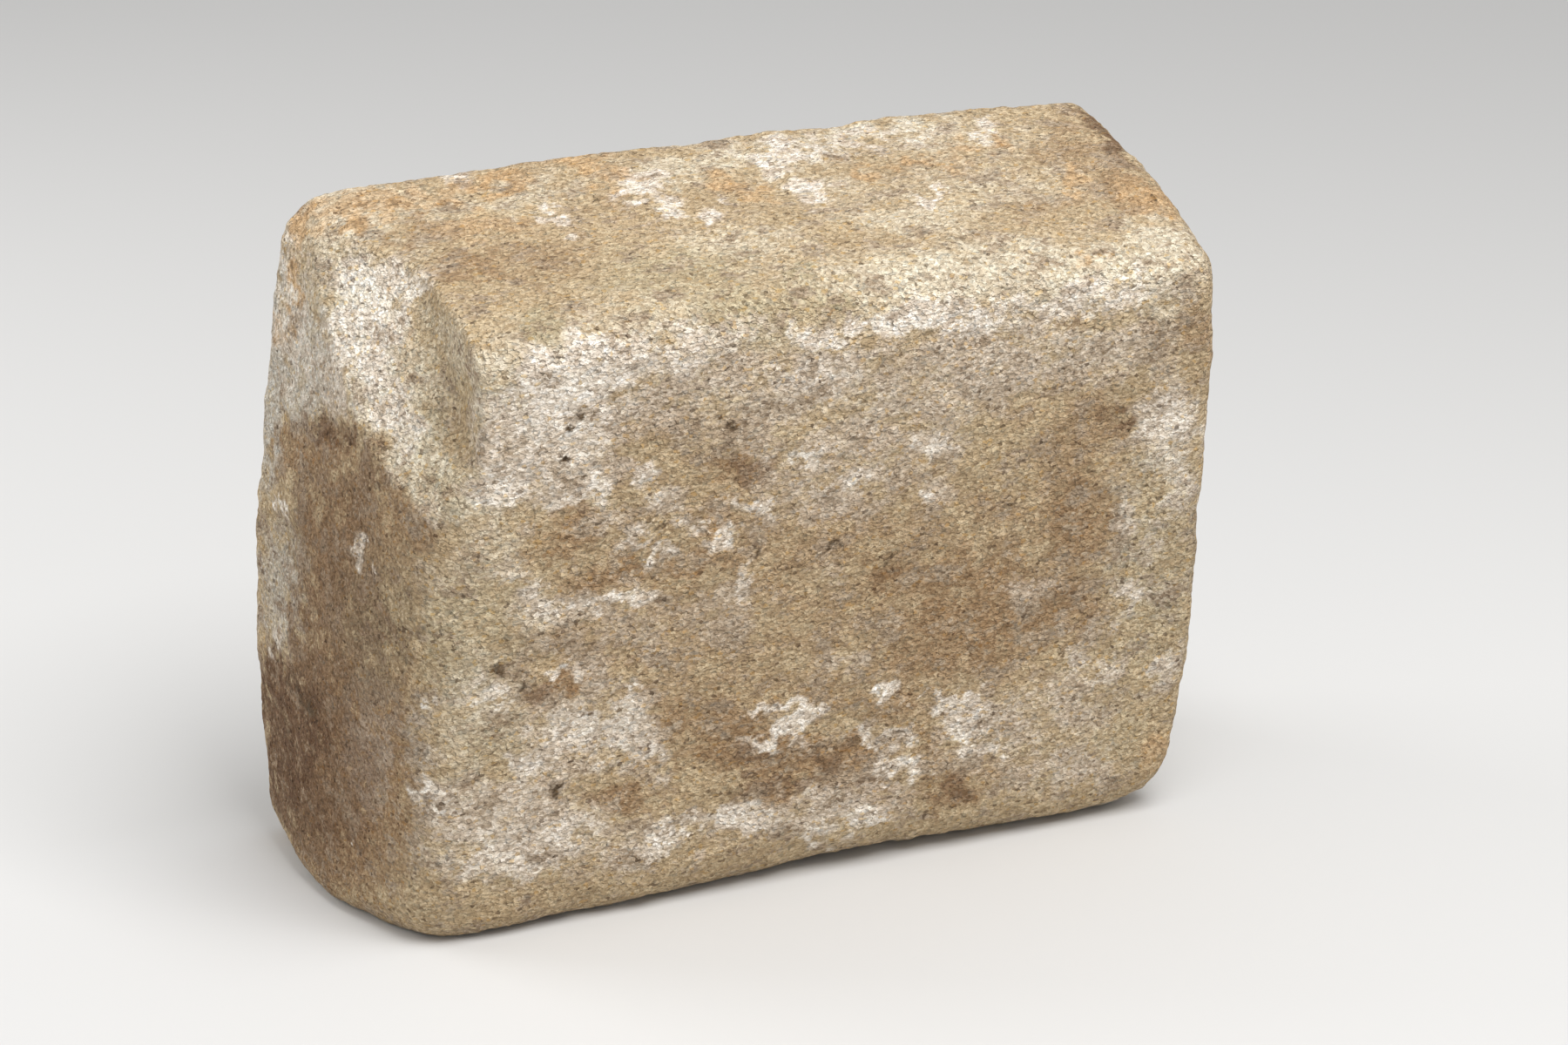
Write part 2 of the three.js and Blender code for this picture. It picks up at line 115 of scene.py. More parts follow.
# Stains, and some painted shade along the bottom edge, placed by pixels of the photograph: x, y, half
# width, half height, turn in degrees and strength.
STAINS_AND_SHADE = {
    "brown": [
        (900, 640, 260, 150, -10, 0.5),
        (760, 470, 62, 34, -30, 0.5),
        (820, 432, 50, 24, 0, 0.4),
        (716, 540, 18, 36, 0, 0.7),
        (645, 622, 50, 26, -15, 0.8),
        (705, 662, 70, 16, -12, 0.9),
        (800, 648, 70, 12, -5, 0.8),
        (858, 530, 46, 26, 0, 0.85),
        (640, 790, 52, 20, -22, 0.95),
        (655, 738, 45, 18, 0, 0.6),
        (780, 820, 18, 40, 0, 0.85),
        (835, 840, 55, 42, 0, 0.8),
        (705, 915, 40, 16, 0, 0.9),
        (640, 860, 26, 10, 0, 0.7),
        (640, 902, 14, 8, 0, 0.9),
        (900, 868, 60, 20, -20, 0.85),
        (985, 860, 46, 16, 0, 0.8),
        (950, 880, 90, 30, 0, 0.8),
        (900, 905, 60, 20, 0, 0.75),
        (1085, 908, 40, 26, 0, 0.85),
        (1070, 850, 30, 40, 0, 0.6),
        (1150, 880, 60, 20, -6, 0.5),
        (800, 760, 60, 40, 0, 0.5),
        (960, 700, 70, 40, 0, 0.4),
        (700, 760, 40, 20, -20, 0.5),
        (600, 735, 40, 16, -10, 0.6),
        (760, 915, 40, 12, -10, 0.5),
        (651, 590, 40, 16, -15, 0.7),
        (815, 595, 40, 22, 0, 0.7),
        (955, 538, 50, 16, -10, 0.5),
        (1040, 492, 36, 16, 0, 0.6),
        (757, 828, 24, 40, 0, 0.7),
        (722, 757, 30, 24, 0, 0.6),
        (1029, 696, 36, 24, 0, 0.6),
        (968, 905, 70, 22, 0, 0.7),
        (1038, 801, 40, 16, 0, 0.7),
        (607, 775, 30, 14, -20, 0.6),
        (660, 600, 34, 12, -15, 0.8),
        (730, 792, 30, 24, 0, 0.6),
        (766, 850, 24, 30, 0, 0.7),
        # This brown stroke on the turned-under bottom edge is painted shade.
        (977, 924, 50, 14, -5, 0.8),
        (1020, 669, 30, 24, 0, 0.7),
        (897, 600, 60, 24, -10, 0.5),
        (932, 538, 50, 18, -10, 0.6),
        (1020, 511, 50, 18, 0, 0.6),
        (1231, 511, 40, 40, 0, 0.6),
        (1302, 529, 26, 40, 0, 0.5),
        (1143, 392, 60, 12, -4, 0.6),
        (1214, 177, 60, 20, -5, 0.5),
        (704, 232, 50, 10, -5, 0.5),
        (476, 669, 24, 40, -10, 0.6),
        (1020, 662, 26, 20, 0, 0.95),
        (1140, 600, 90, 40, 0, 0.5),
        (1268, 486, 34, 40, 0, 0.6),
        (1330, 382, 28, 16, -20, 0.85),
        (1232, 372, 14, 8, 0, 0.8),
        (1190, 450, 90, 50, 0, 0.5),
        (1060, 762, 60, 30, 0, 0.75),
        (1020, 800, 60, 24, 0, 0.5),
        (1120, 700, 110, 80, 0, 0.85),
        (1240, 600, 60, 70, 0, 0.8),
        (1230, 700, 50, 50, 0, 0.75),
        (1150, 760, 60, 40, 0, 0.5),
        (900, 760, 90, 60, 0, 0.4),
        (480, 270, 60, 18, -5, 0.6),
        (540, 306, 60, 22, 0, 0.7),
        (640, 300, 80, 36, 0, 0.5),
        (840, 880, 50, 16, 0, 0.7),
        (700, 800, 30, 16, -20, 0.6),
        (800, 600, 40, 24, 0, 0.6),
        (870, 650, 60, 26, 0, 0.5),
        (960, 790, 60, 18, 0, 0.5),
        (748, 669, 26, 14, 0, 0.6),
        (766, 875, 30, 16, 0, 0.6),
        (713, 836, 24, 14, 0, 0.5),
        (915, 796, 40, 12, 0, 0.6),
        # These two brown strokes on the turned-under bottom edge are painted shade.
        (880, 926, 40, 12, -6, 0.7),
        (950, 930, 40, 10, -6, 0.7),
        (1020, 820, 36, 12, 0, 0.6),
        (1080, 820, 50, 12, 0, 0.5),
        (467, 669, 20, 40, 0, 0.5),
        (1267, 511, 30, 30, 0, 0.5),
        (1231, 195, 40, 16, 20, 0.5),
        (1319, 240, 20, 14, 40, 0.5),
        (700, 320, 60, 24, 0, 0.4),
        (1290, 218, 52, 26, 20, 0.8),
        (1230, 165, 44, 30, 30, 0.6),
        (1200, 232, 70, 16, 0, 0.6),
        (1060, 195, 70, 12, -4, 0.5),
        (1372, 370, 16, 60, 0, 0.6),
        (360, 515, 60, 34, 0, 0.9),
        (395, 640, 80, 110, 0, 0.9),
        (470, 600, 22, 60, -30, 0.8),
        (400, 860, 90, 190, 0, 1),
    ],
    "umber": [
        (338, 860, 38, 104, 10, 1),
        (318, 790, 22, 50, 0, 1),
        (352, 835, 16, 50, -10, 1),
        (360, 940, 40, 50, -20, 0.7),
        (385, 500, 50, 18, 20, 0.7),
        (425, 545, 22, 30, -30, 0.5),
        (390, 740, 80, 160, 0, 0.55),
        (390, 900, 50, 100, 0, 0.6),
        (380, 590, 60, 60, 0, 0.45),
        (1268, 148, 52, 12, 48, 0.8),
        (1285, 470, 20, 20, 0, 0.6),
        (860, 535, 26, 14, 0, 0.5),
        (615, 795, 24, 10, -30, 0.6),
        (1090, 905, 18, 14, 0, 0.6),
        (862, 872, 34, 10, -15, 0.5),
        (955, 868, 34, 12, 0, 0.5),
        (905, 900, 40, 10, 0, 0.5),
        (985, 905, 30, 10, 0, 0.45),
        (850, 905, 24, 10, 0, 0.45),
    ],
    "cream": [
        (1150, 312, 240, 36, -2, 0.9),
        (1335, 290, 50, 44, 0, 0.9),
        (770, 365, 110, 50, 0, 0.55),
        (850, 285, 80, 24, 0, 0.6),
        (420, 350, 44, 66, -20, 1),
        (440, 440, 40, 70, -20, 1),
        (485, 530, 34, 60, -28, 0.95),
        (580, 440, 46, 70, 0, 0.75),
        (640, 400, 70, 40, 0, 0.8),
        (535, 570, 50, 30, 20, 0.8),
        (880, 178, 90, 18, -4, 0.8),
        (1010, 150, 110, 12, -4, 0.85),
        (760, 195, 60, 16, -6, 0.7),
        (1040, 250, 90, 20, 0, 0.6),
        (560, 630, 40, 50, 0, 0.5),
        (530, 680, 60, 60, 0, 0.35),
        (470, 290, 50, 14, 0, 0.4),
        (420, 215, 70, 10, -18, 0.7),
        (540, 820, 34, 110, 0, 0.6),
        (560, 980, 90, 30, 0, 0.5),
        (400, 255, 70, 26, -20, 0.8),
        (480, 235, 80, 18, -12, 0.5),
        (600, 225, 80, 18, -8, 0.45),
        (1150, 215, 110, 22, 0, 0.5),
        (1110, 170, 90, 20, -5, 0.5),
        (950, 210, 90, 26, 0, 0.4),
        (870, 390, 100, 20, -4, 0.5),
        (1050, 345, 90, 24, -3, 0.6),
        (360, 240, 50, 16, -30, 0.9),
        (470, 410, 24, 60, -25, 0.8),
        (511, 575, 24, 20, 0, 0.7),
        (1337, 353, 26, 30, 0, 0.7),
        (385, 268, 40, 14, -20, 0.6),
        (950, 212, 80, 18, 0, 0.4),
        (940, 335, 60, 20, 0, 0.5),
        (1355, 325, 20, 20, 0, 0.7),
        (372, 283, 26, 24, 0, 0.6),
        (515, 385, 20, 50, -25, 0.55),
    ],
    "lilac": [
        (630, 500, 76, 80, -20, 1),
        (660, 430, 80, 50, 0, 0.8),
        (600, 580, 70, 24, -15, 0.5),
        (790, 430, 110, 60, 0, 0.6),
        (950, 545, 90, 60, 0, 0.6),
        (940, 480, 120, 60, 0, 0.5),
        (1180, 400, 160, 40, 0, 0.6),
        (1270, 400, 60, 30, 0, 0.6),
        (690, 545, 50, 60, 0, 0.6),
        (830, 700, 60, 40, 0, 0.35),
        (720, 730, 60, 40, 0, 0.35),
        (560, 780, 50, 60, 0, 0.5),
        (600, 830, 50, 50, 0, 0.5),
        (1230, 880, 90, 30, -10, 0.6),
        (590, 950, 110, 60, 0, 0.8),
        (640, 850, 60, 40, -30, 0.8),
        (720, 830, 40, 50, 0, 0.65),
        (750, 975, 70, 20, -15, 0.7),
        (960, 925, 90, 30, -8, 0.7),
        (1030, 480, 120, 60, -10, 0.55),
        (960, 440, 90, 30, 0, 0.7),
        (1130, 420, 120, 50, 0, 0.6),
        (1345, 500, 34, 80, 0, 0.7),
        (1180, 830, 110, 50, -10, 0.6),
        (860, 580, 90, 40, -15, 0.3),
        (378, 430, 18, 60, 0, 0.9),
        (640, 700, 90, 24, -12, 0.6),
        (425, 850, 34, 110, 0, 0.5),
        (968, 425, 60, 20, 0, 0.8),
        (774, 418, 60, 24, 0, 0.8),
        (766, 573, 24, 22, 0, 0.6),
        (585, 661, 24, 16, 0, 0.6),
        (680, 766, 24, 12, -10, 0.6),
        (1180, 680, 36, 18, 0, 0.5),
        (570, 505, 34, 36, 0, 0.9),
        (1262, 440, 26, 18, 0, 0.6),
        (935, 440, 60, 20, 0, 0.8),
        (687, 792, 24, 12, 0, 0.6),
        (620, 742, 30, 12, 0, 0.5),
        (968, 757, 30, 16, 0, 0.5),
        (1064, 565, 30, 18, 0, 0.5),
        (950, 652, 24, 20, 0, 0.5),
        (493, 590, 16, 24, 0, 0.6),
        (566, 830, 30, 24, 0, 0.5),
    ],
    "white": [
        (430, 335, 44, 40, 0, 0.9),
        (420, 400, 34, 66, -15, 0.85),
        (450, 470, 28, 60, -25, 0.7),
        (650, 460, 70, 60, 0, 0.7),
        (330, 330, 14, 90, 4, 0.8),
        (345, 400, 20, 70, 0, 0.5),
        (774, 418, 44, 14, -5, 0.6),
        (740, 420, 40, 14, -8, 0.6),
        (930, 432, 50, 12, -4, 0.5),
        (1075, 355, 60, 14, -3, 0.6),
        (599, 885, 26, 18, 0, 0.7),
        (1250, 350, 100, 16, -4, 0.6),
        (1080, 372, 100, 14, -4, 0.8),
        (800, 385, 90, 20, -5, 0.45),
        (980, 158, 110, 14, -4, 0.5),
        (520, 210, 14, 12, 0, 0.7),
        (636, 252, 30, 6, 22, 0.8),
        (735, 214, 30, 16, 0, 0.85),
        (772, 240, 24, 12, 0, 0.85),
        (815, 242, 16, 10, 0, 0.8),
        (450, 325, 40, 24, 0, 0.9),
        (408, 372, 22, 36, -10, 0.8),
        (400, 300, 22, 14, 0, 0.7),
        (682, 398, 24, 20, 0, 1),
        (668, 445, 34, 20, 0, 1),
        (625, 425, 34, 26, 0, 0.75),
        (706, 440, 32, 14, -20, 0.8),
        (720, 405, 40, 20, 0, 0.6),
        (640, 490, 40, 30, 0, 0.5),
        (925, 216, 28, 12, 0, 0.85),
        (1132, 150, 18, 10, 0, 0.7),
        (1072, 228, 16, 9, 0, 0.85),
        (900, 178, 50, 14, -4, 0.85),
        (1045, 368, 44, 12, 0, 1),
        (1085, 376, 30, 8, 0, 0.9),
        (988, 370, 16, 8, 0, 0.9),
        (958, 394, 30, 10, 0, 0.9),
        (920, 384, 24, 12, 0, 0.8),
        (1190, 350, 70, 12, 0, 0.7),
        (1270, 330, 50, 16, -8, 0.7),
        (1340, 488, 30, 34, 0, 0.6),
        (1352, 562, 22, 26, 0, 0.4),
        (1300, 596, 28, 12, 0, 0.4),
        (1298, 680, 15, 12, 0, 0.8),
        (1330, 625, 26, 22, 0, 0.3),
        (1268, 705, 22, 16, 0, 0.4),
        (1256, 765, 34, 20, 20, 0.45),
        (1334, 770, 16, 34, 30, 0.5),
        (1085, 803, 24, 8, 0, 1),
        (1124, 806, 20, 8, 0, 0.9),
        (1106, 832, 22, 20, 0, 0.6),
        (1102, 852, 14, 8, 0, 1),
        (1136, 860, 22, 10, 0, 0.7),
        (896, 812, 38, 8, 5, 1),
        (930, 808, 12, 8, 0, 1),
        (920, 832, 32, 8, -28, 0.9),
        (890, 850, 34, 9, -5, 0.95),
        (1016, 846, 34, 7, 0, 0.9),
        (1014, 794, 12, 8, -20, 1),
        (1030, 882, 28, 14, 0, 0.9),
        (845, 940, 46, 12, 0, 0.8),
        (990, 942, 26, 12, 0, 0.8),
        (938, 962, 18, 12, 0, 0.7),
        (922, 525, 34, 8, -5, 0.8),
        (978, 544, 26, 8, 5, 0.9),
        (1052, 572, 11, 18, 0, 0.8),
        (1072, 512, 24, 14, 0, 0.7),
        (866, 580, 24, 10, -15, 0.8),
        (828, 617, 24, 9, 0, 0.8),
        (856, 664, 8, 18, 0, 0.7),
        (760, 634, 18, 9, -10, 0.7),
        (790, 600, 24, 7, -22, 0.6),
        (740, 612, 26, 7, -28, 0.6),
        (570, 562, 34, 24, 0, 0.75),
        (650, 574, 24, 9, -24, 0.75),
        (690, 562, 15, 24, 0, 0.75),
        (738, 552, 20, 22, 0, 0.8),
        (615, 680, 30, 16, 25, 0.6),
        (700, 690, 50, 8, -8, 0.8),
        (650, 765, 13, 8, 0, 1),
        (706, 850, 34, 30, 0, 0.6),
        (720, 806, 18, 20, 0, 0.7),
        (655, 835, 40, 16, -30, 0.7),
        (752, 868, 15, 18, 0, 0.7),
        (560, 800, 26, 16, 0, 0.7),
        (492, 915, 14, 22, -15, 0.95),
        (491, 810, 6, 8, 0, 1),
        (580, 985, 60, 26, 0, 0.5),
        (650, 960, 40, 24, 0, 0.5),
        (765, 964, 32, 9, -20, 0.8),
        (415, 634, 8, 14, 0, 0.9),
        (404, 970, 6, 6, 0, 0.8),
        (322, 578, 5, 12, 0, 0.9),
        (318, 735, 6, 20, 0, 0.6),
    ],
    "rust": [
        (395, 238, 60, 14, -22, 0.7),
        (408, 254, 16, 9, 0, 1),
        (450, 238, 40, 10, -10, 0.8),
        (502, 226, 26, 9, 0, 0.8),
        (562, 210, 38, 8, -8, 1),
        (662, 188, 36, 7, 3, 1),
        (700, 205, 24, 8, 0, 0.7),
        (337, 332, 6, 16, 0, 1),
        (336, 305, 7, 30, 0, 0.9),
        (345, 262, 12, 20, 0, 0.9),
        (325, 380, 6, 26, 0, 0.5),
        (450, 337, 5, 5, 0, 0.9),
        (835, 215, 22, 8, 0, 0.8),
        (866, 222, 22, 9, 0, 0.8),
        (992, 195, 22, 8, 0, 0.8),
        (1050, 190, 50, 8, -4, 0.75),
        (1112, 172, 24, 10, 0, 0.75),
        (1150, 168, 14, 8, 0, 0.8),
        (1235, 210, 9, 15, 0, 1),
        (1318, 228, 36, 18, 20, 0.8),
        (1252, 294, 14, 6, 0, 0.8),
        (560, 260, 60, 10, -5, 0.5),
        (470, 400, 10, 30, 0, 0.4),
        (1330, 860, 22, 26, 30, 0.6),
    ],
    "olive": [
        (760, 318, 110, 34, -3, 0.65),
        (620, 376, 26, 26, 0, 0.85),
        (850, 360, 70, 36, 0, 0.75),
        (960, 346, 20, 20, 0, 1),
        (920, 315, 22, 8, 0, 1),
        (900, 350, 80, 30, 0, 0.6),
        (520, 560, 40, 26, 20, 0.5),
        (493, 494, 14, 30, -20, 0.5),
        (530, 440, 14, 40, -15, 0.25),
        (545, 740, 70, 80, 0, 0.55),
        (430, 720, 44, 90, 0, 0.6),
        (1325, 640, 50, 160, 5, 0.5),
        (330, 640, 30, 60, 0, 0.5),
        (560, 850, 40, 40, 0, 0.5),
        (1300, 850, 50, 30, 0, 0.5),
    ],
    "grey": [
        (312, 420, 14, 150, 3, 0.95),
        (350, 410, 26, 90, 0, 0.8),
        (322, 680, 24, 80, 0, 0.7),
        (1310, 560, 46, 70, 0, 0.3),
        (1240, 730, 26, 34, 0, 0.3),
        (1310, 640, 60, 120, 0, 0.25),
        (480, 860, 26, 70, 0, 0.4),
    ],
    "grime": [
        (632, 351, 5, 2, 0, 0.9),
        (820, 430, 5, 3, 20, 0.8),
        (758, 608, 4, 4, 0, 0.7),
        (672, 651, 5, 3, 0, 0.6),
        (764, 337, 4, 3, 0, 0.5),
        (784, 565, 7, 3, 15, 0.6),
        (807, 615, 3, 7, 0, 0.7),
        (580, 772, 8, 4, 20, 0.6),
        (610, 775, 7, 5, 0, 0.7),
        (596, 789, 6, 4, -30, 0.7),
        (642, 902, 7, 5, 0, 0.7),
        (700, 880, 7, 4, 10, 0.6),
        (552, 877, 4, 3, 0, 0.7),
        (676, 822, 7, 4, 0, 0.6),
        (520, 976, 5, 7, -30, 0.6),
        (870, 638, 5, 5, 0, 0.6),
        (1016, 637, 7, 3, -10, 0.7),
        (1160, 571, 8, 4, 10, 0.6),
        (1228, 688, 6, 4, 0, 0.5),
        (1256, 852, 3, 9, -25, 0.6),
        (960, 630, 4, 7, 0, 0.5),
        (1082, 432, 3, 3, 0, 0.8),
        (664, 487, 3, 8, 40, 0.7),
        (646, 520, 3, 11, 35, 0.7),
        (672, 545, 3, 11, 45, 0.7),
        (586, 676, 8, 2, 45, 0.8),
        (838, 488, 5, 3, 0, 0.6),
        (1320, 372, 10, 5, -20, 0.5),
        (700, 618, 6, 10, 0, 0.4),
        (775, 852, 6, 6, 0, 0.5),
        (398, 466, 5, 5, 0, 0.5),
        (1320, 228, 4, 3, 0, 0.7),
        (350, 800, 26, 7, 50, 0.5),
    ],
}

# How much further on in the noise the patches of each kind of stain are than the last kind's.
PATCH_OFFSET_STEP = 10

# Stains where the photograph shows nothing: their patches' size, their usual strength and how it varies.
HIDDEN_STAINS = {
    "brown": (110 * MM, 0.45, 0.6),
    "cream": (90 * MM, 0.4, 0.7),
    "lilac": (80 * MM, 0.4, 0.6),
    "olive": (80 * MM, 0.3, 0.7),
    "grey": (110 * MM, 0.35, 0.7),
    "white": (46 * MM, 0.15, 0.8),
    "umber": (80 * MM, 0, 0.7),
    "rust": (60 * MM, 0, 0.7),
}

# The way that the hollow's mouth faces, and the way across it.
MOUTH_LEAN = math.radians(7.68)
MOUTH_WAY = np.array((0, math.cos(MOUTH_LEAN), math.sin(MOUTH_LEAN)))
ACROSS_WAY = np.array((0, -math.sin(MOUTH_LEAN), math.cos(MOUTH_LEAN)))

# Where the foot's face lies along the first of these ways, and the hollow's middle along the second.
FOOT_PLACE = -68.5 * MM
MIDDLE_ACROSS = 171 * MM

# The hollow above the foot's face: how high its floor and mouth are, and half their length and width.
HOLLOW_FLOOR = 55 * MM
HOLLOW_MOUTH = 179 * MM
HOLLOW_FLOOR_HALF = np.array((160, 119)) * MM
HOLLOW_MOUTH_HALF = np.array((180, 138)) * MM
WALL_MARGIN = 10 * MM

# How high the soil has stained the hollow, how softly that ends, and the stain in it.
SOIL_LINE = 165 * MM
SOIL_FADE = 50 * MM
SOIL_STAIN = (60 * MM, 0.6, 0.35)

# The colour that each kind of stain gives the stone, and how softly it starts.
PIGMENTS = {
    "brown": ("9a7c5c", 0.45),
    "cream": ("dfd4bd", 0.55),
    "lilac": ("d9cbba", 0.40),
    "olive": ("b7a98a", 0.55),
    "grey": ("cdc6b9", 0.45),
    "umber": ("6a4f3a", 0.45),
    "white": ("f2e8da", 0.40),
    "rust": ("ceab80", 0.70),
    "grime": ("54432f", 0.35),
    "soil": ("86715a", 0.60),
}

# The stone's grains: their size, what stretches them and how fine the noise is that shakes them.
GRAIN_SIZE = 1.65 * MM
GRAIN_STRETCH = (0.72, 1, 1)
SHAKE_DETAIL = 2.0

# The colour of each mineral and its share of the grains.
MINERALS = [
    ("e2d7c8", 0.35),
    ("f1eae0", 0.24),
    ("d0c4b5", 0.22),
    ("faf4e9", 0.08),
    ("cac5bd", 0.06),
    ("e2cdac", 0.03),
    ("a3978a", 0.02),
]

# The stone's colour under its stains.
BARE_STONE = "bfa988"

# A noise texture's middle, the range that most of its values lie in and how strong its finer waves are.
NOISE_MIDDLE = (0.5, 0.5, 0.5)
NOISE_LOW = 0.3
NOISE_HIGH = 0.7
NOISE_ROUGHNESS = 0.6

# The ragged edges of the stains, and how much of them follows single grains.
RAGGED_SIZE = 14 * MM
RAGGED_DETAIL = 5.0
RAGGED_ROUGHNESS = 0.62
GRAIN_EDGE_SHARE = 0.24

# The seams between grains: how far apart and how wide they are, and the painted shadow that they multiply
# the colour by.
SEAM_SPACING = 3 * MM
SEAM_WIDTH_SHARE = 0.14
SEAM_SHADOW_TONE = (0.74, 0.7, 0.65)

# The noise that opens seams in clumps, and its values where they start to open and are wholly open.
CLUMP_SIZE = 5 * MM
SEAM_DETAIL = 2.0
SEAM_START = 0.56
SEAM_OPEN = 0.8

# Bumps too small for the mesh: the size of their waves and their height.
BUMPS = [(1.65 * MM, 3.3 * MM), (3 * MM, 2.4 * MM), (6 * MM, 1.2 * MM)]
BUMP_DETAIL = 1.0

# The height of a grain, the depth of a seam, and the scale and strength of all the bumps.
GRAIN_HEIGHT = 0.6 * MM
SEAM_DEPTH = 0.8 * MM
BUMP_DISTANCE = 1.0
BUMP_STRENGTH = 1.0

# Changes of tone, fine to broad: their waves' size and detail, and their darkest and lightest factors.
TONES = [
    (GRAIN_SIZE, 3.0, (0.72, 0.71, 0.69), (1.28, 1.29, 1.31)),
    (CLUMP_SIZE, 3.0, (0.95, 0.94, 0.93), (1.05, 1.06, 1.07)),
    (38 * MM, 5.0, (0.93, 0.91, 0.89), (1.07, 1.08, 1.08)),
]

# Painted shade in sunken places: its colour, how much of it mixes in, and how sunken the stone is where
# it starts and is full.
SUNKEN_SHADE_COLOR = "5a4632"
SUNKEN_SHADE_STRENGTH = 0.35
SUNKEN_SHADE_START = 0.35
SUNKEN_SHADE_FULL = 1

# How rough and how glossy the stone is.
STONE_ROUGHNESS = 0.95
STONE_SPECULAR = 0.25


def grain_gain():
    """What the grains' colours are multiplied by, so that they change no stain's mean colour."""
    mean = sum(np.array(rgb(code)[:3]) * share for code, share in MINERALS)
    return (*(1 / mean).tolist(), 1)


def rgb(code):
    """A colour written as in a style sheet, in linear light, with its alpha."""
    parts = [int(code[start : start + 2], 16) / 255 for start in (0, 2, 4)]
    return (*[part / 12.92 if part < 0.04045 else ((part + 0.055) / 1.055) ** 2.4 for part in parts], 1)


def camera_axes():
    """The directions to the right, up and back towards the camera, as the photograph has them."""
    back = Vector(
        (
            math.sin(VIEW_AZIMUTH) * math.cos(VIEW_ELEVATION),
            -math.cos(VIEW_AZIMUTH) * math.cos(VIEW_ELEVATION),
            math.sin(VIEW_ELEVATION),
        )
    )
    right = Vector((math.cos(VIEW_AZIMUTH), math.sin(VIEW_AZIMUTH), 0))
    return right, back.cross(right), back


RIGHT, UP, BACK = camera_axes()
VIEWPOINT = VIEW_TARGET + BACK * VIEW_DISTANCE
FOCAL_PIXELS = LENS / SENSOR_WIDTH * PHOTO_WIDTH


def add_camera():
    """A long lens at the photograph's viewing angle."""
    data = bpy.data.cameras.new("camera")
    data.lens = LENS
    data.sensor_width = SENSOR_WIDTH
    data.clip_end = VIEW_REACH
    camera = bpy.data.objects.new("camera", data)
    bpy.context.scene.collection.objects.link(camera)
    camera.location = VIEWPOINT
    camera.rotation_euler = BACK.to_track_quat("Z", "Y").to_euler()
    bpy.context.scene.camera = camera


def fine_copy(node):
    """An evenly divided copy of a CAD node, with its sharp cut edges worn."""
    stone = bpy.data.objects.new("stone", node.data.copy())
    bpy.context.scene.collection.objects.link(stone)
    remesh = stone.modifiers.new("Even mesh", "REMESH")
    remesh.mode = "VOXEL"
    remesh.voxel_size = STONE_VOXEL
    wear = stone.modifiers.new("Wear", "SMOOTH")
    wear.factor = WEAR_FACTOR
    wear.iterations = WEAR_PASSES
    graph = bpy.context.evaluated_depsgraph_get()
    mesh = bpy.data.meshes.new_from_object(stone.evaluated_get(graph))
    stone.modifiers.clear()
    stone.data = mesh
    return stone


def places_of(mesh):
    """The places of a mesh's vertices, as an array."""
    values = np.empty(len(mesh.vertices) * 3, np.float32)
    mesh.vertices.foreach_get("co", values)
    return values.reshape(-1, 3).astype(float)


def normals_of(mesh):
    """The directions in which a mesh's vertices face, as an array."""
    values = np.empty(len(mesh.vertices) * 3, np.float32)
    mesh.vertex_normals.foreach_get("vector", values)
    return values.reshape(-1, 3).astype(float)


def noise_at(points, size, octaves, offset):
    """Fractal noise from about -1 to 1 at each point, with waves of the given size."""
    places = (points / size + offset).tolist()
    return np.array([noise.fractal(place, NOISE_FALLOFF, NOISE_STEP, octaves) for place in places])


def pits_at(points):
    """How deep each point is in one of the small scattered pits, from 0 to 1."""
    places = points / PIT_SPACING + PIT_OFFSET
    nearest = np.array([noise.voronoi(place)[0][0] for place in places.tolist()])
    return np.clip(1 - nearest * PIT_SPACING / PIT_RADIUS, 0, 1)


def smooth_step(values, low, high):
    """0 below low, 1 above high and a smooth change between them."""
    share = np.clip((values - low) / (high - low), 0, 1)
    return share * share * (3 - 2 * share)


def on_photo(points):
    """Where each point is in the photograph, in pixels."""
    offsets = points - np.array(VIEWPOINT)
    depth = -offsets @ np.array(BACK)
    x = PHOTO_WIDTH / 2 + FOCAL_PIXELS * (offsets @ np.array(RIGHT)) / depth
    y = PHOTO_HEIGHT / 2 - FOCAL_PIXELS * (offsets @ np.array(UP)) / depth
    return x, y


def under_pixel(node, x, y):
    """The place on a CAD node that a pixel of the photograph shows, and the way it faces."""
    ray = RIGHT * (x - PHOTO_WIDTH / 2) + UP * (PHOTO_HEIGHT / 2 - y) - BACK * FOCAL_PIXELS
    found, place, facing, _ = node.ray_cast(VIEWPOINT, ray.normalized())
    return (place, facing) if found else (None, None)


def stain(node, points, pixels, stroke):
    """How strongly one stain covers each point. It keeps to the face that it lies on."""
    x, y, half_width, half_height, turn, strength = stroke
    place, facing = under_pixel(node, x, y)
    if place is None:
        print("no stone under the stain at", x, y)
        return np.zeros(len(points))
    across, down = pixels[0] - x, pixels[1] - y
    cosine, sine = math.cos(math.radians(turn)), math.sin(math.radians(turn))
    along = (across * cosine + down * sine) / half_width
    aside = (down * cosine - across * sine) / half_height
    deep = (points - np.array(place)) @ np.array(facing) / STAIN_REACH
    distance = np.sqrt(along**2 + aside**2 + deep**2)
    return strength * (1 - smooth_step(distance, STAIN_CORE_SHARE, STAIN_EDGE_SHARE))


def add_values(mesh, name, values):
    """Keeps one number for each vertex under a name that a material can read."""
    attribute = mesh.attributes.new(name, "FLOAT", "POINT")
    attribute.data.foreach_set("value", values.astype(np.float32))


def behind_stone(node, point):
    """Whether a CAD node hides a point from the photograph's viewpoint."""
    offset = Vector(point) - VIEWPOINT
    found, place, _, _ = node.ray_cast(VIEWPOINT, offset.normalized())
    return found and (place - VIEWPOINT).length < offset.length - HIDDEN_DEPTH


def hidden_share(node, points, normals):
    """How far each point is out of the photograph's sight, from 0 to 1."""
    turned_away = smooth_step(-normals @ np.array(BACK), TURNING_AWAY, TURNED_AWAY)
    behind = np.array([behind_stone(node, point) for point in points.tolist()], float)
    return np.maximum(turned_away, behind)


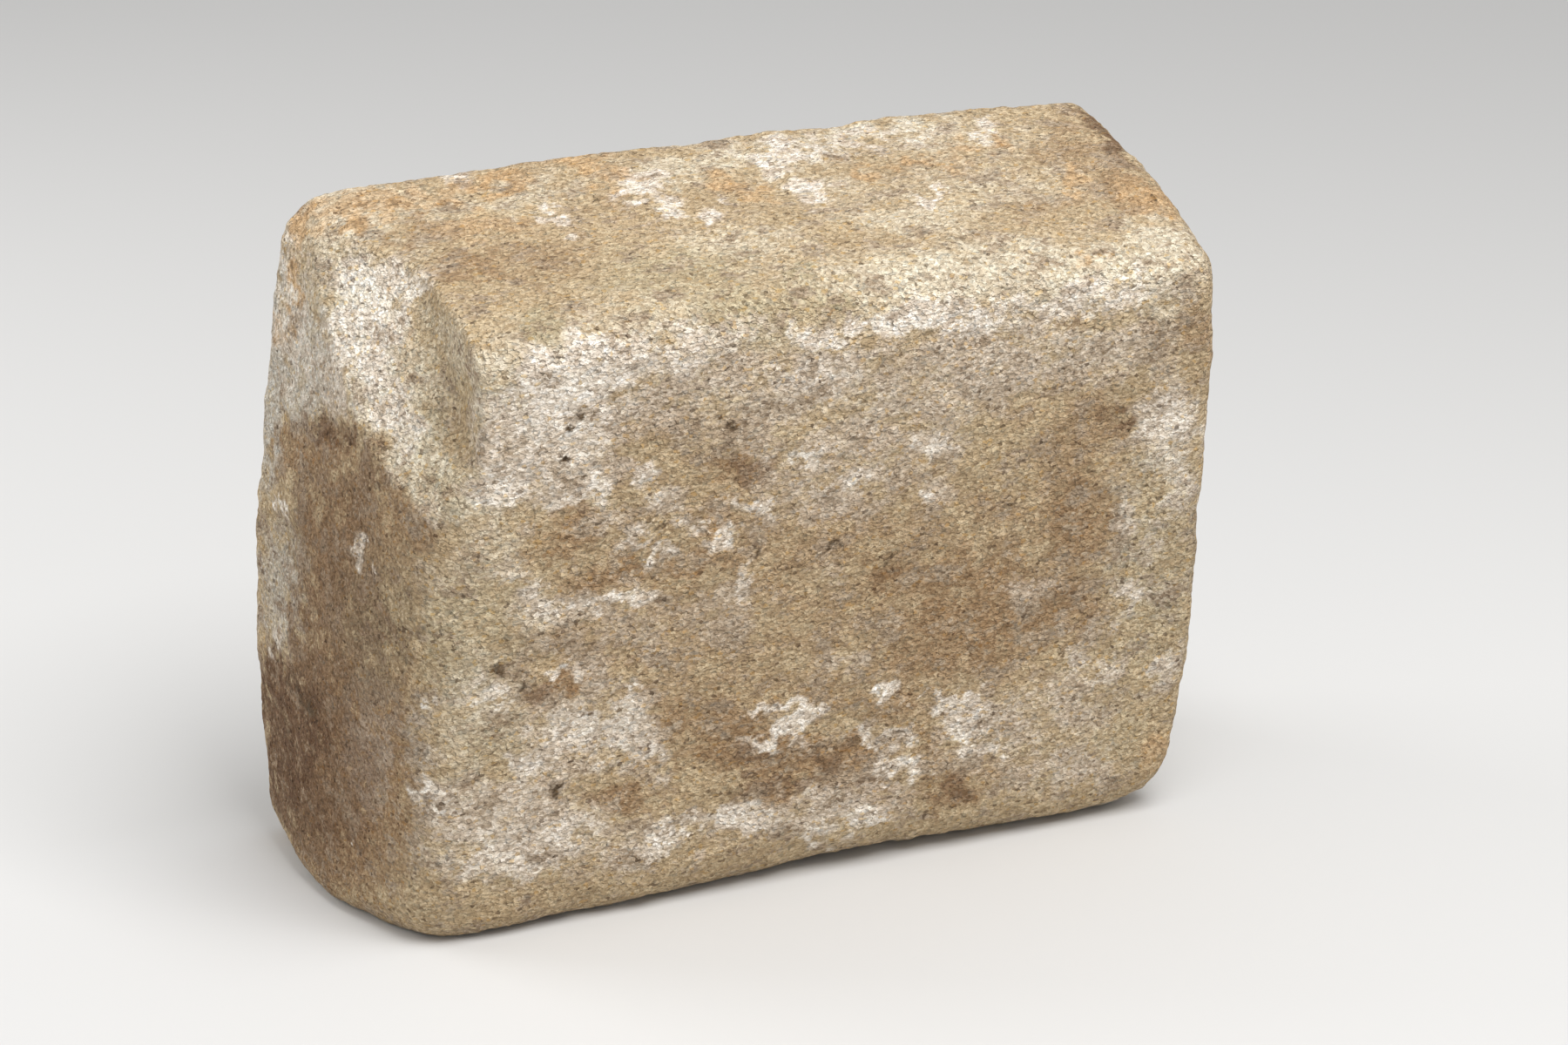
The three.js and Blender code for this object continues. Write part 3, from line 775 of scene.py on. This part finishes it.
def hollow_share(points):
    """How far each point is below the hollow's soil line, from 0 to 1. It is 0 outside the hollow."""
    rise = points @ MOUTH_WAY - FOOT_PLACE
    aside = np.abs(np.column_stack((points[:, 0], points @ ACROSS_WAY - MIDDLE_ACROSS)))
    share = ((rise - HOLLOW_FLOOR) / (HOLLOW_MOUTH - HOLLOW_FLOOR))[:, None]
    half = HOLLOW_FLOOR_HALF + share * (HOLLOW_MOUTH_HALF - HOLLOW_FLOOR_HALF) + WALL_MARGIN
    inside = (aside < half).all(axis=1) & (rise > HOLLOW_FLOOR - WALL_MARGIN)
    return inside * smooth_step(SOIL_LINE - rise, 0, SOIL_FADE)


def spread(points, pattern, offset):
    """A stain in patches, from its patches' size, its usual strength and how it varies."""
    size, strength, variation = pattern
    return np.clip(strength + variation * noise_at(points, size, STAIN_OCTAVES, offset), 0, 1)


def add_stains(stone, node):
    """Keeps how strongly each kind of stain covers each vertex."""
    points = places_of(stone.data)
    shifts = [
        STAIN_SHIFT * noise_at(points, STAIN_SHIFT_SIZE, STAIN_OCTAVES, offset)
        for offset in STAIN_SHIFT_OFFSETS
    ]
    pixels = np.array(on_photo(points)) + shifts
    hidden = hidden_share(node, points, normals_of(stone.data))
    for step, (name, strokes) in enumerate(STAINS_AND_SHADE.items()):
        cover = np.zeros(len(points))
        for stroke in strokes:
            cover = np.maximum(cover, stain(node, points, pixels, stroke))
        if name in HIDDEN_STAINS:
            patches = spread(points, HIDDEN_STAINS[name], PATCH_OFFSET_STEP * step)
            cover = np.maximum(cover * (1 - hidden), patches * hidden)
        add_values(stone.data, name, cover)
    add_values(stone.data, "soil", hollow_share(points) * spread(points, SOIL_STAIN, 0))


def weather(stone):
    """Moves the stone's skin in and out, but not into the ground, and keeps how sunken it is."""
    mesh = stone.data
    points = places_of(mesh)
    undulation, dimples, crumbs = [
        noise_at(points, size, RELIEF_OCTAVES, offset)
        for size, _, offset in (UNDULATION, DIMPLES, CRUMBS)
    ]
    pits = pits_at(points)
    relief = UNDULATION[1] * undulation + DIMPLES[1] * dimples + CRUMBS[1] * crumbs - PIT_DEPTH * pits
    points += normals_of(mesh) * relief[:, None]
    points[:, 2] = np.maximum(points[:, 2], 0)
    mesh.vertices.foreach_set("co", points.astype(np.float32).ravel())
    mesh.update()
    sunken = -CRUMB_SINK * crumbs - DIMPLE_SINK * dimples + PIT_SINK * pits
    add_values(mesh, "sunken", np.clip(sunken, -1, 1))


def put(tree, kind, inputs, **settings):
    """A new node with its settings made and its inputs set or linked."""
    node = tree.nodes.new(kind)
    for name, value in settings.items():
        setattr(node, name, value)
    for key, value in inputs.items():
        if isinstance(value, bpy.types.NodeSocket):
            tree.links.new(value, node.inputs[key])
        else:
            node.inputs[key].default_value = value
    return node


def math_node(tree, operation, first, second):
    """One step of arithmetic on two values."""
    return put(tree, "ShaderNodeMath", {0: first, 1: second}, operation=operation).outputs[0]


def vector_node(tree, operation, inputs):
    """One step of arithmetic on vectors."""
    return put(tree, "ShaderNodeVectorMath", inputs, operation=operation).outputs[0]


def mix_colors(tree, share, first, second, blend="MIX"):
    """A blend of two colours. The node's colours are its inputs 6 and 7, and its output 2."""
    inputs = {0: share, 6: first, 7: second}
    return put(tree, "ShaderNodeMix", inputs, data_type="RGBA", blend_type=blend).outputs[2]


def multiply_colors(tree, first, second):
    """One colour multiplied by another."""
    return mix_colors(tree, 1.0, first, second, "MULTIPLY")


def waves(tree, place, size, detail, roughness=NOISE_ROUGHNESS):
    """A noise texture with waves of the given size, from 0 to 1."""
    inputs = {"Vector": place, "Scale": 1 / size, "Detail": detail, "Roughness": roughness}
    return put(tree, "ShaderNodeTexNoise", inputs).outputs[0]


def ramp(tree, value, stops, interpolation="LINEAR"):
    """A colour ramp with the given (place, colour) stops."""
    node = put(tree, "ShaderNodeValToRGB", {0: value})
    node.color_ramp.interpolation = interpolation
    elements = node.color_ramp.elements
    while len(elements) < len(stops):
        elements.new(1)
    for element, (place, color) in zip(elements, stops):
        element.position = place
        element.color = color
    return node.outputs[0]


def smooth_range(tree, value, low, high):
    """0 below low, 1 above high and a smooth change between them, as a node."""
    inputs = {"Value": value, "From Min": low, "From Max": high}
    return put(tree, "ShaderNodeMapRange", inputs, interpolation_type="SMOOTHSTEP").outputs[0]


def mineral_stops():
    """The ramp that gives each grain one mineral's colour, by the minerals' shares."""
    stops, start = [], 0
    for code, share in MINERALS:
        stops.append((start, rgb(code)))
        start += share
    return stops


def shake(tree, place):
    """Coordinates shifted by noise, which makes even cells into uneven grains."""
    inputs = {"Vector": place, "Scale": 1 / GRAIN_SIZE, "Detail": SHAKE_DETAIL}
    wobble = put(tree, "ShaderNodeTexNoise", inputs).outputs[1]
    wobble = vector_node(tree, "SUBTRACT", {0: wobble, 1: NOISE_MIDDLE})
    wobble = vector_node(tree, "SCALE", {0: wobble, "Scale": GRAIN_SIZE})
    return vector_node(tree, "ADD", {0: place, 1: wobble})


def seam_lines(tree, place):
    """Thin seams between some of the grains, from 0 to 1 on them; the colour is darkened along them as
    painted shadow.
    """
    inputs = {"Vector": place, "Scale": 1 / SEAM_SPACING}
    edge = put(tree, "ShaderNodeTexVoronoi", inputs, feature="DISTANCE_TO_EDGE").outputs[0]
    line = smooth_range(tree, edge, SEAM_WIDTH_SHARE, 0)
    clumps = waves(tree, place, CLUMP_SIZE, SEAM_DETAIL)
    open_here = smooth_range(tree, clumps, SEAM_START, SEAM_OPEN)
    return math_node(tree, "MULTIPLY", line, open_here)


def read_values(tree, name):
    """The numbers kept for the vertices under a name."""
    return put(tree, "ShaderNodeAttribute", {}, attribute_name=name).outputs["Fac"]


def stained(tree, place, edge_chance):
    """The bare stone's colour under every stain, each with ragged edges."""
    ragged = waves(tree, place, RAGGED_SIZE, RAGGED_DETAIL, RAGGED_ROUGHNESS)
    ragged = smooth_range(tree, ragged, NOISE_LOW, NOISE_HIGH)
    ragged = math_node(tree, "MULTIPLY", ragged, 1 - GRAIN_EDGE_SHARE)
    by_grain = math_node(tree, "MULTIPLY", edge_chance, GRAIN_EDGE_SHARE)
    ragged = math_node(tree, "ADD", ragged, by_grain)
    color = rgb(BARE_STONE)
    for name, (code, softness) in PIGMENTS.items():
        cover = math_node(tree, "SUBTRACT", read_values(tree, name), ragged)
        cover = smooth_range(tree, cover, -softness, softness)
        color = mix_colors(tree, cover, color, rgb(code))
    return color


def toned(tree, place, color):
    """A colour with the stone's fine, middling and broad changes of tone."""
    for size, detail, dark, light in TONES:
        stops = [(NOISE_LOW, (*dark, 1)), (NOISE_HIGH, (*light, 1))]
        tone = ramp(tree, waves(tree, place, size, detail), stops)
        color = multiply_colors(tree, color, tone)
    return color


def with_painted_shade(tree, color, seams):
    """A colour with painted shadow in its seams and painted shade where the stone is sunken."""
    # Painted shadow along the seams between grains.
    color = mix_colors(tree, seams, color, multiply_colors(tree, color, (*SEAM_SHADOW_TONE, 1)))
    # Painted shade where the stone is sunken.
    sunken_shade = smooth_range(tree, read_values(tree, "sunken"), SUNKEN_SHADE_START, SUNKEN_SHADE_FULL)
    return mix_colors(tree, sunken_shade, color, mix_colors(tree, SUNKEN_SHADE_STRENGTH, color, rgb(SUNKEN_SHADE_COLOR)))


def bump_height(tree, place, grain_distance, seams):
    """The height of the bumps too small for the mesh."""
    height = math_node(tree, "MULTIPLY", grain_distance, -GRAIN_HEIGHT)
    for size, tall in BUMPS:
        wave = math_node(tree, "MULTIPLY", waves(tree, place, size, BUMP_DETAIL), tall)
        height = math_node(tree, "ADD", height, wave)
    return math_node(tree, "SUBTRACT", height, math_node(tree, "MULTIPLY", seams, SEAM_DEPTH))


def granite():
    """Coarse weathered granite under its stains."""
    material = bpy.data.materials.new("granite")
    material.use_nodes = True
    tree = material.node_tree
    shader = tree.nodes["Principled BSDF"]
    place = put(tree, "ShaderNodeTexCoord", {}).outputs["Object"]
    place = put(tree, "ShaderNodeMapping", {"Vector": place, "Scale": GRAIN_STRETCH}).outputs[0]
    place = shake(tree, place)
    grains = put(tree, "ShaderNodeTexVoronoi", {"Vector": place, "Scale": 1 / GRAIN_SIZE})
    chances = put(tree, "ShaderNodeSeparateColor", {0: grains.outputs["Color"]}).outputs
    seams = seam_lines(tree, place)

    color = stained(tree, place, chances[1])
    color = multiply_colors(tree, color, ramp(tree, chances[0], mineral_stops(), "CONSTANT"))
    color = multiply_colors(tree, color, grain_gain())
    color = with_painted_shade(tree, toned(tree, place, color), seams)
    tree.links.new(color, shader.inputs["Base Color"])

    shader.inputs["Roughness"].default_value = STONE_ROUGHNESS
    shader.inputs["Specular IOR Level"].default_value = STONE_SPECULAR
    height = bump_height(tree, place, grains.outputs["Distance"], seams)
    inputs = {"Height": height, "Distance": BUMP_DISTANCE, "Strength": BUMP_STRENGTH}
    bump = put(tree, "ShaderNodeBump", inputs)
    tree.links.new(bump.outputs[0], shader.inputs["Normal"])
    return material


def add_area_light(name, place, size, power):
    """A soft, square white light at a place, aimed at the stone."""
    data = bpy.data.lights.new(name, "AREA")
    data.size = size
    data.energy = power
    light = bpy.data.objects.new(name, data)
    bpy.context.scene.collection.objects.link(light)
    light.location = place
    light.rotation_euler = (Vector(place) - Vector(LIGHT_AIM)).to_track_quat("Z", "Y").to_euler()


def add_world():
    """Even light from all round."""
    world = bpy.data.worlds.new("studio")
    bpy.context.scene.world = world
    world.use_nodes = True
    background = world.node_tree.nodes["Background"]
    background.inputs["Color"].default_value = WORLD_COLOR
    background.inputs["Strength"].default_value = WORLD_STRENGTH


def add_floor():
    """A plain pale floor, far larger than the view."""
    mesh = bpy.data.meshes.new("floor")
    half = FLOOR_SIZE / 2
    corners = [(-half, -half, 0), (half, -half, 0), (half, half, 0), (-half, half, 0)]
    mesh.from_pydata(corners, [], [(0, 1, 2, 3)])
    floor = bpy.data.objects.new("floor", mesh)
    bpy.context.scene.collection.objects.link(floor)
    material = bpy.data.materials.new("pale floor")
    material.use_nodes = True
    shader = material.node_tree.nodes["Principled BSDF"]
    shader.inputs["Base Color"].default_value = FLOOR_COLOR
    shader.inputs["Roughness"].default_value = FLOOR_ROUGHNESS
    mesh.materials.append(material)


add_camera()
stone = fine_copy(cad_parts["trough"])
add_stains(stone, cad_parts["trough"])
weather(stone)
stone.data.materials.clear()
stone.data.materials.append(granite())
stone.data.shade_smooth()
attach(stone, "root")
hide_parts("trough")
add_floor()
add_world()
add_area_light("key", *KEY_LIGHT)
add_area_light("bounce", *BOUNCE_LIGHT)
bpy.context.scene.view_settings.view_transform = "Standard"
